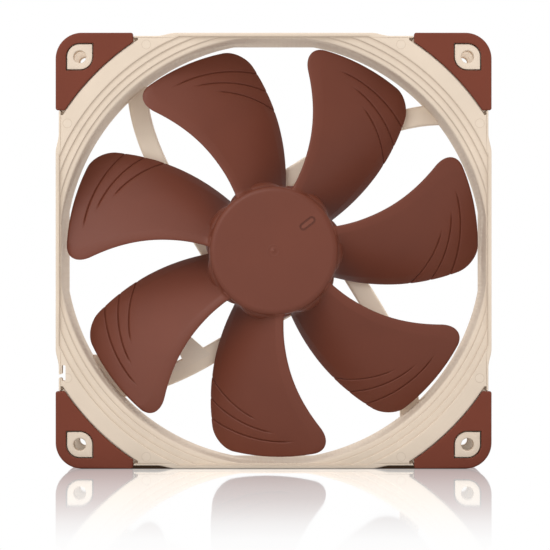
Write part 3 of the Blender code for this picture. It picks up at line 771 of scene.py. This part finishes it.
def make_pad(name, turn, side):
    """A soft pad with rounded edges, a skirt down its outer sides and an opening for the boss."""
    outline, skirt = pad_outline()
    around = np.arctan2(outline[:, 1], outline[:, 0])
    corners = np.arange(-math.pi, math.pi, math.pi / 2.0)
    even = np.linspace(-math.pi, math.pi, 240, endpoint=False)
    candidates = np.concatenate([around, corners, corners + math.pi / 4.0, even])
    directions = spread(candidates, math.radians(0.12))
    edge = ray_lengths(directions, outline)
    opening = leaf_radius(directions - math.radians(45.0), BOSS_HALF + MOAT)
    skirted = (directions > around[skirt[0]]) & (directions < around[skirt[1]])
    across = np.maximum(np.abs(np.cos(directions)), np.abs(np.sin(directions)))
    wall = np.where(skirted, PAD_SKIRT / across, 0.0)
    top = HALF_DEPTH
    roof = HALF_DEPTH - PAD_THICKNESS
    foot = np.where(skirted, FLANGE_INNER, roof)
    points = [
        (opening, top, 0.3),
        (opening + 0.7 * MM, top, 0.0),
        (edge - 1.55 * MM, top, 0.0),
        (edge, top, 0.7),
        (edge, foot, 0.25),
        (edge - wall, foot, 0.2),
        (edge - wall, roof, 0.2),
        (opening, roof, 0.1),
    ]
    points = [(radius, side * y, rounding) for radius, y, rounding in points]
    rows = rounded_rows(directions, points, 5, (HOLE_CENTRE, HOLE_CENTRE))
    return swept(name, turn_about_axis(rows, turn), angle=50.0)


# ---- Impeller


def leading_angle(radius):
    """Degrees from +X of the first blade's leading edge, which swings back on both sides."""
    out = radius / MM - LEADING_RADIUS
    outer = LEADING_ANGLE + 0.0142 * out**2 - 0.00016 * out**3
    return np.where(out < 0.0, LEADING_ANGLE + 0.029 * out**2, outer)


def trailing_angle(radius):
    """Degrees from +X of the first blade's trailing edge."""
    out = radius / MM - TRAILING_RADIUS
    return TRAILING_ANGLE + 0.39024 * out + 0.001047 * out**2


def corner_retreat(radius, corner):
    """How far a rounded tip corner sets an edge back along the arc."""
    into = np.maximum(radius - (BLADE_TIP - corner), 0.0)
    return corner - np.sqrt(np.maximum(corner * corner - into * into, 0.0))


def root_flare(radius):
    """How much a blade thickens where it runs into the hub."""
    return FLARE * np.exp(-np.maximum(radius - HUB_RADIUS, 0.0) / FLARE_REACH)


def channel_line(channel, degrees):
    """How far along a channel each angle lies, from 0 to 1, and the channel's radius there."""
    start, middle, end, last = channel
    first = trailing_angle(start)
    t = np.clip((degrees - first) / (last - first), -0.1, 1.0)
    return t, start * (1 - t) * (1 - 2 * t) + 4 * middle * t * (1 - t) + end * t * (2 * t - 1)


def channel_depth(radius, degrees):
    """How deep the flow channels lie below the blade's front face."""
    depth = np.zeros_like(radius)
    for channel in CHANNELS:
        t, line = channel_line(channel, degrees)
        gap = radius - line
        groove = CHANNEL_DEPTH * np.exp(-((gap / CHANNEL_HALF) ** 2))
        slope = SLOPE_DEPTH * np.exp(-((gap / SLOPE_REACH) ** 2)) * smooth_step(0.5 - gap / CHANNEL_HALF)
        depth += smooth_step((1.0 - t) / CHANNEL_FADE) * (groove + slope)
    return depth


def blade_angles(radius, along):
    """The angles from the leading to the trailing edge, with the rounded tip corners."""
    grown = np.degrees(0.4 * root_flare(radius) / radius)
    first = leading_angle(radius) - np.degrees(corner_retreat(radius, LEADING_CORNER) / radius)
    last = trailing_angle(radius) + np.degrees(corner_retreat(radius, TRAILING_CORNER) / radius)
    return first + grown + (last - first - 2.0 * grown) * along


def blade_radii(along):
    """Radii for the rows of a blade, which run along its flow channels where it has them.

    A row's share counts the zones that the channels part the blade into: 0 is the root, 1, 2 and
    3 are the channels and 4 is the tip. Extra rows lie at small offsets beside each channel.
    """
    shares = [np.linspace(0.0, 0.13, 18)[:-1], np.linspace(0.13, 1.0, 50)[1:-1]]
    shares += [1.0 + np.linspace(0.0, 1.0, 14)[1:-1], 2.0 + np.linspace(0.0, 1.0, 10)[1:-1]]
    shares += [3.0 + np.sin(0.5 * math.pi * np.linspace(0.0, 1.0, 22)[1:])]
    beside = np.array([-0.7, -0.42, -0.26, -0.13, 0.0, 0.13, 0.26, 0.42, 0.7]) * MM
    share = np.concatenate(shares + [np.full(len(beside), line) for line in (1.0, 2.0, 3.0)])[:, None]
    offset = np.concatenate([np.zeros(len(share) - 3 * len(beside))] + [beside] * 3)[:, None]
    radius = between((BLADE_ROOT, BLADE_TIP), share / 4.0) + 0.0 * along
    # A channel's radius depends on the angle, and the angle on the radius.
    for _ in range(5):
        degrees = blade_angles(radius, along)
        lines = [channel_line(channel, degrees)[1] for channel in CHANNELS]
        anchors = [np.full_like(radius, BLADE_ROOT)] + lines + [np.full_like(radius, BLADE_TIP)]
        radius = offset + 0.0 * along
        for number in range(4):
            part = np.clip(share - number, 0.0, 1.0)
            radius = radius + part * (anchors[number + 1] - anchors[number])
        radius = np.clip(radius + BLADE_ROOT, BLADE_ROOT, BLADE_TIP)
    return np.sort(radius, axis=0)


def blade_rows():
    """Rows for the first blade, one closed section in each row."""
    even = np.linspace(0.0, 1.0, 85)
    eased = 0.5 - 0.5 * np.cos(math.pi * even)
    along = between((eased, even), 0.55)
    along = between((along, eased), np.exp(-even * (1.0 - even) * 30.0))[None, :]
    radius = blade_radii(along)
    degrees = blade_angles(radius, along)
    span = (radius - BLADE_ROOT) / (BLADE_TIP - BLADE_ROOT)
    lead = leading_angle(radius)
    trail = trailing_angle(radius)
    u = (lead - degrees) / (lead - trail)
    depth = between(BLADE_DEPTHS, span)
    y = -HALF_DEPTH + between(BLADE_SETBACKS, span) + depth * (u - CAMBER * u * (1.0 - u))
    rise = depth * (1.0 - CAMBER * (1.0 - 2.0 * u))
    run = radius * np.radians(lead - trail)
    length = np.hypot(rise, run)
    # Thinner towards both edges, the trailing edge and the tip, thicker at the root.
    edge = np.sqrt(np.minimum(np.minimum(along, 1.0 - along) * 9.0, 1.0))
    tip = np.clip((radius - BLADE_TIP + TIP_EASE) / TIP_EASE, 0.0, 1.0)
    soft = np.sqrt(1.0 - 0.8 * tip * tip)
    half = 0.5 * between(BLADE_THICKNESSES, span) * edge * (1.15 - 0.5 * along) * soft
    half = np.maximum(half + root_flare(radius) * edge, BLADE_THINNEST)
    rows = []
    for sign in (-1.0, 1.0):
        reach = half if sign > 0.0 else half - channel_depth(radius, degrees)
        angle = np.radians(degrees) + sign * reach * rise / length / radius
        level = y + sign * reach * run / length
        rows.append(np.stack([radius * np.cos(angle), level, radius * np.sin(angle)], axis=-1))
    return np.concatenate([rows[0], rows[1][:, ::-1]], axis=1)


def make_root_bump(number):
    """The rounded thickening where a blade's leading part meets the hub."""
    bm = bmesh.new()
    bmesh.ops.create_uvsphere(bm, u_segments=40, v_segments=24, radius=1.0)
    turn = math.radians(BUMP_ANGLE + 360.0 * number / BLADES)
    for vertex in bm.verts:
        along, deep, out = vertex.co
        out = BUMP_CENTRE + BUMP_REACH * out
        around = turn + BUMP_HALF * along / BUMP_CENTRE
        level = BUMP_LEVEL + BUMP_DEPTH * deep
        vertex.co = (out * math.cos(around), level, out * math.sin(around))
    return finished("bump", bm)


def make_hub():
    """The hub: a cup with a soft front edge, a moulding nub and a boss for the shaft."""
    profile = [
        (0.05, -12.36, 0.0),
        (0.3, -12.34, 0.1),
        (0.9, -12.1, 0.3),
        (1.6, -12.1, 0.05),
        (1.8, -12.15, 0.05),
        (2.0, -12.1, 0.05),
        (2.8, -12.1, 0.0),
        (10.0, -12.1, 0.0),
        (16.6, -12.1, 0.0),
        (20.8, -12.1, 3.4),
        (20.8, 6.2, 0.3),
        (19.3, 6.2, 0.3),
        (19.3, -10.6, 0.6),
        (4.6, -10.6, 0.3),
        (4.6, -7.0, 0.2),
        (3.3, -7.0, 0.1),
        (3.3, -10.6, 0.1),
        (0.05, -10.6, 0.0),
    ]
    return turned("hub", profile, 252, 8)


def mark_outline(length, width):
    """The outline of a slot with round ends, where the hub's mark is."""
    half = 0.5 * width
    reach = 0.5 * length - half
    points = []
    for start, middle in ((-90.0, reach), (90.0, -reach)):
        for angle in np.radians(np.linspace(start, start + 180.0, 13)):
            points.append((middle + half * math.cos(angle), half * math.sin(angle)))
    return rotated(points, MARK_TURN) + np.array(MARK_CENTRE)


def make_impeller():
    """The hub with its mark, seven blades and their root bumps."""
    hub = make_hub()
    cut(hub, prism("mark", mark_outline(*MARK_SIZE), -BEYOND, MARK_FLOOR), "EXACT")
    stroke = prism("stroke", mark_outline(*STROKE_SIZE), STROKE_FACE, STROKE_FOOT)
    rows = blade_rows()
    blades = []
    for number in range(BLADES):
        blades.append(make_root_bump(number))
        turned_blade = turn_about_axis(rows, 360.0 * number / BLADES)
        blades.append(swept("blade", turned_blade, ends="strips", angle=50.0))
    return joined("impeller_visual", [hub, stroke] + blades)


# ---- Materials


def plug(tree, node, inputs):
    """Gives a node's inputs their values or links."""
    for name, value in inputs.items():
        if isinstance(value, bpy.types.NodeSocket):
            tree.links.new(value, node.inputs[name])
        else:
            node.inputs[name].default_value = value


def add(tree, kind, inputs=None, **settings):
    node = tree.nodes.new("ShaderNode" + kind)
    for name, value in settings.items():
        setattr(node, name, value)
    plug(tree, node, inputs or {})
    return node


def compute(tree, operation, first, second):
    return add(tree, "Math", {0: first, 1: second}, operation=operation).outputs["Value"]


def compute_vector(tree, operation, first, second=(0.0, 0.0, 0.0)):
    node = add(tree, "VectorMath", {0: first, 1: second}, operation=operation)
    return node.outputs["Value" if operation in ("LENGTH", "DOT_PRODUCT") else "Vector"]


def mapped(tree, value, low, high, to_low=0.0, to_high=1.0, **settings):
    """Maps the range from low to high onto another range."""
    inputs = {"Value": value, "From Min": low, "From Max": high, "To Min": to_low, "To Max": to_high}
    return add(tree, "MapRange", inputs, **settings).outputs["Result"]


def mixed(tree, factor, first, second, blend_type="MIX"):
    inputs = {"Factor": factor, "A": first, "B": second}
    return add(tree, "Mix", inputs, data_type="RGBA", blend_type=blend_type).outputs["Result"]


def bumped(tree, height, strength, distance, normal=None):
    """The shading normal over a relief, on top of another relief if one is given."""
    inputs = {"Height": height, "Strength": strength, "Distance": distance}
    if normal:
        inputs["Normal"] = normal
    return add(tree, "Bump", inputs).outputs["Normal"]


def noise(tree, place, scale, detail):
    return add(tree, "TexNoise", {"Vector": place, "Scale": scale, "Detail": detail}).outputs["Fac"]


def ramp(tree, source, stops):
    node = add(tree, "ValToRGB", {"Fac": source})
    for element, (position, colour) in zip(node.color_ramp.elements, stops[:2]):
        element.position = position
        element.color = colour
    for position, colour in stops[2:]:
        node.color_ramp.elements.new(position).color = colour
    return node.outputs["Color"]


def greys(levels):
    return [(position, (level, level, level, 1.0)) for position, level in levels]


def varied(tree, source, colour, low, high):
    """A colour that drifts between a darker and a lighter share of itself."""
    dark, light = [(*[channel * share for channel in colour], 1.0) for share in (low, high)]
    return ramp(tree, source, [(0.3, dark), (0.7, light)])


def object_place(tree):
    return add(tree, "TexCoord").outputs["Object"]


def axis_distance(tree, place):
    """The distance from the rotor's axis."""
    return compute_vector(tree, "LENGTH", compute_vector(tree, "MULTIPLY", place, (1.0, 0.0, 1.0)))


def new_material(name):
    made = bpy.data.materials.new(name)
    made.use_nodes = True
    return made, made.node_tree, made.node_tree.nodes["Principled BSDF"]


def plastic(name, colour, roughness, grain, relief, wear_and_highlight, specular=0.5, bent=False, dimples=False):
    """Moulded plastic or rubber: soft colour drift, a fine sparked grain, edges paled by wear and painted
    highlight, painted shade in hollows.

    A bent one reads its edges and hollows from the bend that is stored on the mesh.
    """
    made, tree, shader = new_material(name)
    place = object_place(tree)
    fine = noise(tree, place, grain, 5.0)
    speck = add(tree, "TexVoronoi", {"Vector": place, "Scale": grain * 0.55}).outputs["Distance"]
    tone = varied(tree, noise(tree, place, 55.0, 3.0), colour, 0.955, 1.04)
    if bent:
        stored = add(tree, "Attribute", attribute_name="bend").outputs["Fac"]
        pointed = compute(tree, "ADD", stored, 0.5)
    else:
        pointed = add(tree, "NewGeometry").outputs["Pointiness"]
    # Painted shade: the colour is darker in hollows, where shade falls
    hollow = ramp(tree, pointed, [(0.40, HOLLOW_PAINTED_SHADE), (0.495, WHITE)])
    shaded = mixed(tree, 1.0, tone, hollow, "MULTIPLY")
    # Paler edges: part wear on the rims, part painted highlight
    edge = compute(tree, "MULTIPLY", mapped(tree, pointed, 0.52, 0.62), fine)
    normal = bumped(tree, compute(tree, "ADD", fine, speck), relief, 0.06 * MM)
    if dimples:
        normal = dimpled(tree, place, normal)
    plug(tree, shader, {
        "Base Color": mixed(tree, edge, shaded, (*wear_and_highlight, 1.0)),
        "Roughness": mapped(tree, fine, 0.3, 0.7, roughness - 0.07, roughness + 0.07),
        "Normal": normal,
        "Specular IOR Level": specular,
    })
    return made


def dimpled(tree, place, normal):
    """Rows of small dimples round the wall of the air tunnel, and nowhere else."""
    parts = add(tree, "SeparateXYZ", {"Vector": place}).outputs
    around = compute(tree, "ARCTAN2", parts["Z"], parts["X"])
    cell = add(tree, "CombineXYZ", {"X": around, "Y": parts["Y"]}).outputs["Vector"]
    pitches = (DIMPLES / (2.0 * math.pi), 1.0 / DIMPLE_PITCH, 0.0)
    cell = compute_vector(tree, "MULTIPLY", cell, pitches)
    lattice = add(
        tree, "TexVoronoi", {"Vector": cell, "Scale": 1.0, "Randomness": 0.0}, voronoi_dimensions="2D"
    )
    bowl = mapped(tree, lattice.outputs["Distance"], 0.12, 0.34, interpolation_type="SMOOTHSTEP")
    outside = mapped(tree, axis_distance(tree, place), *DIMPLE_LIMITS)
    return bumped(tree, compute(tree, "MAXIMUM", bowl, outside), 0.6, 0.12 * MM, normal)


def metal(name, colour, roughness, streak):
    """Turned or pressed metal with fine streaks."""
    made, tree, shader = new_material(name)
    stretched = add(tree, "Mapping", {"Vector": object_place(tree), "Scale": streak})
    lines = noise(tree, stretched.outputs["Vector"], 900.0, 4.0)
    plug(tree, shader, {
        "Base Color": varied(tree, lines, colour, 0.85, 1.08),
        "Roughness": mapped(tree, lines, 0.0, 1.0, roughness - 0.1, roughness + 0.12),
        "Normal": bumped(tree, lines, 0.15, 0.03 * MM),
        "Metallic": 1.0,
    })
    return made


def windings(name):
    """Enamelled copper wire: fine ridges from turn to turn."""
    made, tree, shader = new_material(name)
    wave = {"Vector": object_place(tree), "Scale": 700.0, "Distortion": 1.2, "Detail": 2.0}
    turns = add(tree, "TexWave", wave, wave_type="RINGS", rings_direction="Y").outputs["Fac"]
    stops = [(0.2, (0.22, 0.07, 0.025, 1.0)), (0.8, (0.72, 0.30, 0.12, 1.0))]
    plug(tree, shader, {
        "Base Color": ramp(tree, turns, stops),
        "Roughness": mapped(tree, turns, 0.0, 1.0, 0.22, 0.45),
        "Normal": bumped(tree, turns, 0.7, 0.1 * MM),
        "Metallic": 0.9,
    })
    return made


def label_paper(name):
    """A plain satin sticker: a pale disc inside a brown ring."""
    made, tree, shader = new_material(name)
    place = object_place(tree)
    share = mapped(tree, axis_distance(tree, place), 0.0, LABEL_RADIUS)
    fibre = add(tree, "TexNoise", {"Vector": place, "Scale": 1500.0, "Detail": 6.0}).outputs
    ring = [(0.815, LABEL_BROWN), (0.93, LABEL_BROWN)]
    tone = ramp(tree, share, [(0.0, LABEL_PALE), (0.80, LABEL_PALE), *ring, (0.945, LABEL_PALE)])
    plug(tree, shader, {
        "Base Color": mixed(tree, 0.08, tone, fibre["Color"], "MULTIPLY"),
        "Roughness": mapped(tree, fibre["Fac"], 0.0, 1.0, 0.28, 0.5),
        "Normal": bumped(tree, fibre["Fac"], 0.12, 0.03 * MM),
    })
    return made


def make_materials():
    """One material for each of the record's slots, and two more for parts of the casing."""
    casing = {"grain": 2600.0, "relief": 0.10, "wear_and_highlight": BEIGE_WEAR_AND_HIGHLIGHT, "bent": True}
    drawn = (1.0, 0.05, 1.0)
    return {
        "frame": plastic("frame_beige", BEIGE, 0.7, specular=0.2, **casing),
        # Painted light: the mount's beige is lighter than the frame's, though it is the same plastic
        "mount": plastic("mount_beige_painted_lighter", MOUNT_BEIGE_PAINTED_LIGHTER, 0.7, specular=0.2, **casing),
        "tunnel": plastic("frame_beige_dimpled", BEIGE, 0.75, specular=0.15, dimples=True, **casing),
        "pads": plastic("pad_rubber", PAD_BROWN, 0.62, 3200.0, 0.14, PAD_WEAR_AND_HIGHLIGHT, 0.2, True),
        "impeller": plastic("impeller_brown", IMPELLER_BROWN, 0.46, 2800.0, 0.08, IMPELLER_WEAR_AND_HIGHLIGHT, 0.27, True),
        "steel": metal("bare_steel", (0.56, 0.57, 0.58), 0.32, drawn),
        "magnet": plastic("ferrite", (0.075, 0.07, 0.066), 0.6, 1800.0, 0.3, (0.14, 0.13, 0.12)),
        "brass": metal("turned_brass", (0.72, 0.52, 0.22), 0.3, drawn),
        "bearing": metal("sintered_bronze", (0.45, 0.33, 0.2), 0.5, (1.0, 1.0, 1.0)),
        "insulator": plastic("insulator_white", (0.72, 0.71, 0.66), 0.5, 2000.0, 0.1, (0.85, 0.84, 0.8)),
        "copper": windings("winding_copper"),
        "board": plastic("board_green", (0.03, 0.16, 0.07), 0.35, 1400.0, 0.1, (0.2, 0.3, 0.12)),
        "chip": plastic("chip_black", (0.02, 0.02, 0.022), 0.45, 2400.0, 0.15, (0.06, 0.06, 0.06)),
        "ceramic": plastic("ceramic_tan", (0.5, 0.42, 0.33), 0.4, 1600.0, 0.1, (0.6, 0.55, 0.45)),
        "label": label_paper("label_paper"),
        "seal": plastic("seal_black", (0.045, 0.045, 0.045), 0.6, 2000.0, 0.2, (0.09, 0.09, 0.09)),
    }


# ---- Stage


def distance_share(tree, place, foot, reach):
    """The distance from a rectangle round the middle of the floor, as a share of the reach."""
    beyond = compute_vector(tree, "SUBTRACT", compute_vector(tree, "ABSOLUTE", place), foot)
    outside = compute_vector(tree, "MAXIMUM", beyond)
    flat = compute_vector(tree, "MULTIPLY", outside, (1.0, 1.0, 0.0))
    return mapped(tree, compute_vector(tree, "LENGTH", flat), 0.0, reach)


def floor_material():
    """White that mirrors the fan near its foot, fades to plain white, and is dark under the fan."""
    made, tree, plain = new_material("floor_white")
    tree.nodes.remove(plain)
    place = object_place(tree)
    share = distance_share(tree, place, (HALF_SIDE, HALF_DEPTH, 0.0), FLOOR_REACH)
    inner = distance_share(tree, place, (HALF_SIDE - CORNER_RADIUS, FACE, 0.0), SHADOW_REACH)
    path = add(tree, "LightPath").outputs
    shadow = ramp(tree, inner, [(0.0, SHADOW), (1.0, WHITE)])
    shown = mixed(tree, path["Is Diffuse Ray"], shadow, ramp(tree, share, greys(BOUNCE)))
    white = add(tree, "Emission", {"Color": shown, "Strength": 1.0})
    gain = (MIRROR_GAIN, MIRROR_GAIN, MIRROR_GAIN, 1.0)
    glossy = add(tree, "BsdfGlossy", {"Color": gain, "Roughness": 0.04})
    mirror = compute(tree, "MULTIPLY", ramp(tree, share, greys(MIRROR)), path["Is Camera Ray"])
    factor = compute(tree, "MULTIPLY", mirror, inner)
    shaders = {"Fac": factor, 1: white.outputs["Emission"], 2: glossy.outputs["BSDF"]}
    surface = add(tree, "MixShader", shaders).outputs["Shader"]
    plug(tree, tree.nodes["Material Output"], {"Surface": surface})
    return made


def make_floor(low_z):
    mesh = bpy.data.meshes.new("floor")
    half = FLOOR_HALF
    corners = [(-half, -half, low_z), (half, -half, low_z), (half, half, low_z), (-half, half, low_z)]
    mesh.from_pydata(corners, [], [(0, 1, 2, 3)])
    mesh.materials.append(floor_material())
    floor = bpy.data.objects.new("floor", mesh)
    bpy.context.scene.collection.objects.link(floor)


def make_world():
    """A studio that shows white all round and lights the fan from the front."""
    world = bpy.data.worlds.new("studio")
    bpy.context.scene.world = world
    world.use_nodes = True
    tree = world.node_tree
    direction = add(tree, "TexCoord").outputs["Generated"]
    front = compute_vector(tree, "DOT_PRODUCT", direction, GLOW_DIRECTION)
    left = compute_vector(tree, "DOT_PRODUCT", direction, GLEAM_DIRECTION)
    path = add(tree, "LightPath").outputs
    glow = ramp(tree, front, greys(GLOW))
    lit = mixed(tree, path["Is Glossy Ray"], glow, ramp(tree, left, greys(GLEAM)))
    white = (1.0 / STUDIO, 1.0 / STUDIO, 1.0 / STUDIO, 1.0)
    colour = mixed(tree, path["Is Camera Ray"], lit, white)
    plug(tree, tree.nodes["Background"], {"Color": colour, "Strength": STUDIO})


def area_light(name, place, size, power):
    """A rectangular light that faces the fan's centre."""
    data = bpy.data.lights.new(name, "AREA")
    data.shape = "RECTANGLE"
    data.size, data.size_y = size
    data.energy = power
    light = bpy.data.objects.new(name, data)
    light.location = place
    light.rotation_euler = (-Vector(place)).to_track_quat("-Z", "Y").to_euler()
    bpy.context.scene.collection.objects.link(light)


def make_camera():
    data = bpy.data.cameras.new("camera")
    data.lens = CAMERA_LENS
    camera = bpy.data.objects.new("camera", data)
    camera.location = CAMERA_PLACE
    camera.rotation_euler = (math.radians(90.0), 0.0, 0.0)
    bpy.context.scene.collection.objects.link(camera)
    bpy.context.scene.camera = camera


# ---- Assembly


def dress(obj, material, body, slot, *nodes):
    """Gives a new piece its material and body, and hides the nodes it stands for. The slot is not used."""
    flatten_normals(obj)
    store_bend(obj)
    obj.data.materials.clear()
    obj.data.materials.append(material)
    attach(obj, body)
    if nodes:
        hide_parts(*nodes)


def main():
    make_camera()
    make_world()
    materials = make_materials()
    shell = make_shell()
    cut_casing(shell)
    dress(shell, materials["tunnel"], "casing", "frame", "frame")
    bosses = [make_boss(turn, side) for turn in QUARTERS for side in SIDES]
    dress(joined("screw_bosses", bosses), materials["frame"], "casing", "frame")
    mount = [make_strut(turn) for turn in QUARTERS] + make_guide() + [make_base()]
    dress(joined("motor_mount", mount), materials["mount"], "casing", "frame")
    for side, word in zip(SIDES, ("front", "rear")):
        for corner, turn in CORNERS.items():
            pad = make_pad(f"{word}_pad_{corner}_soft", turn, side)
            dress(pad, materials["pads"], "casing", "pads", f"{word}_pad_{corner}")
    dress(make_impeller(), materials["impeller"], "rotor", "impeller", "impeller")
    for row in frame["record"]["subparts"]:
        node = frame["nodes"][row["node"]]
        node.data.materials.clear()
        node.data.materials.append(materials[row["material_slot"]])
    make_floor(cad_low.z)
    area_light("key_light", (-0.05, -0.55, 1.1), (1.1, 0.8), 3.6)
    area_light("front_light", (-0.6, -1.1, 0.8), (0.7, 0.5), 3.8)
    bpy.context.scene.view_settings.view_transform = "Standard"


main()
